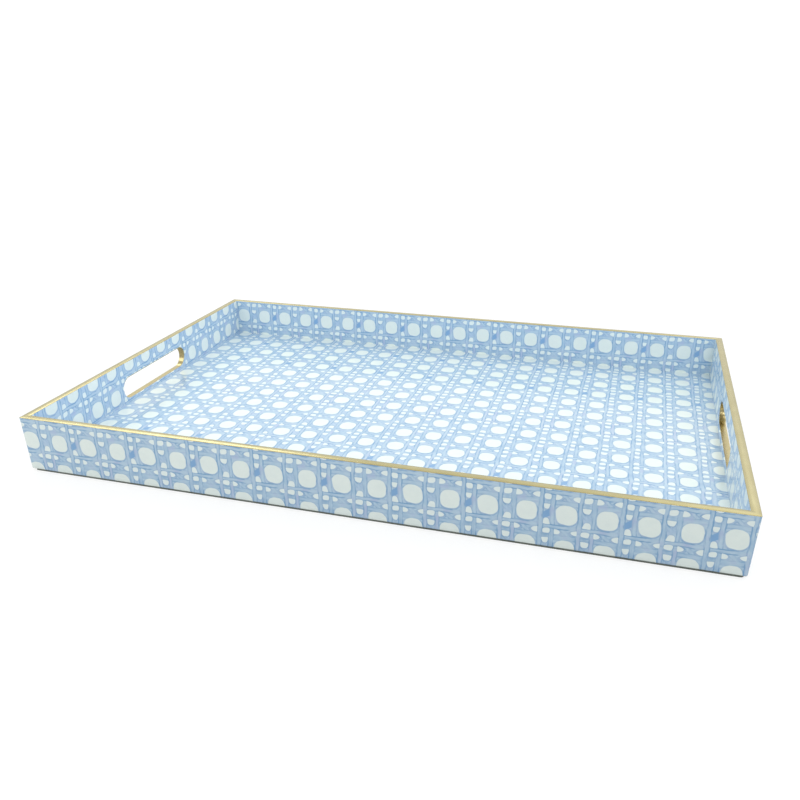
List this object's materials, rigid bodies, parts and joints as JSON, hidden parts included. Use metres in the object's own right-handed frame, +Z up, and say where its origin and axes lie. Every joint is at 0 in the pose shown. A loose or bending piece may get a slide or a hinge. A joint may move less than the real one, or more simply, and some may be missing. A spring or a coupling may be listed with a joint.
{
  "type": "serving tray",
  "caption": "Shallow rectangular serving tray with leaning walls, a woven-cane pattern paper covering, gilt edging and a hand slot in each end.",
  "frame": {"origin": "middle of the felt's underside, on the surface the tray stands on", "axes": "+X along the length towards the right end wall, +Y across the width towards the back wall, +Z up"},
  "size_m": [0.457, 0.305, 0.04],
  "materials": {
    "cane_paper": "blue and white woven-cane print on paper under clear gloss lacquer",
    "gilt": "pale gold leaf, burnished, under lacquer",
    "board": "raw medium-density fibreboard",
    "felt": "dark grey-green pressed wool felt",
    "steel": "bright drawn wire"
  },
  "bodies": {
    "root": {"felt_pad": "felt", "base_board": "board", "front_wall": "board", "back_wall": "board", "left_end_wall": "board", "right_end_wall": "board", "front_edging": "gilt", "back_edging": "gilt", "left_edging": "gilt", "right_edging": "gilt", "left_slot_lining": "gilt", "right_slot_lining": "gilt", "floor_paper": "cane_paper", "front_inner_paper": "cane_paper", "back_inner_paper": "cane_paper", "left_inner_paper": "cane_paper", "right_inner_paper": "cane_paper", "front_outer_paper": "cane_paper", "back_outer_paper": "cane_paper", "left_outer_paper": "cane_paper", "right_outer_paper": "cane_paper", "board_pins": "steel", "mitre_pins": "steel"}
  },
  "joints": []
}
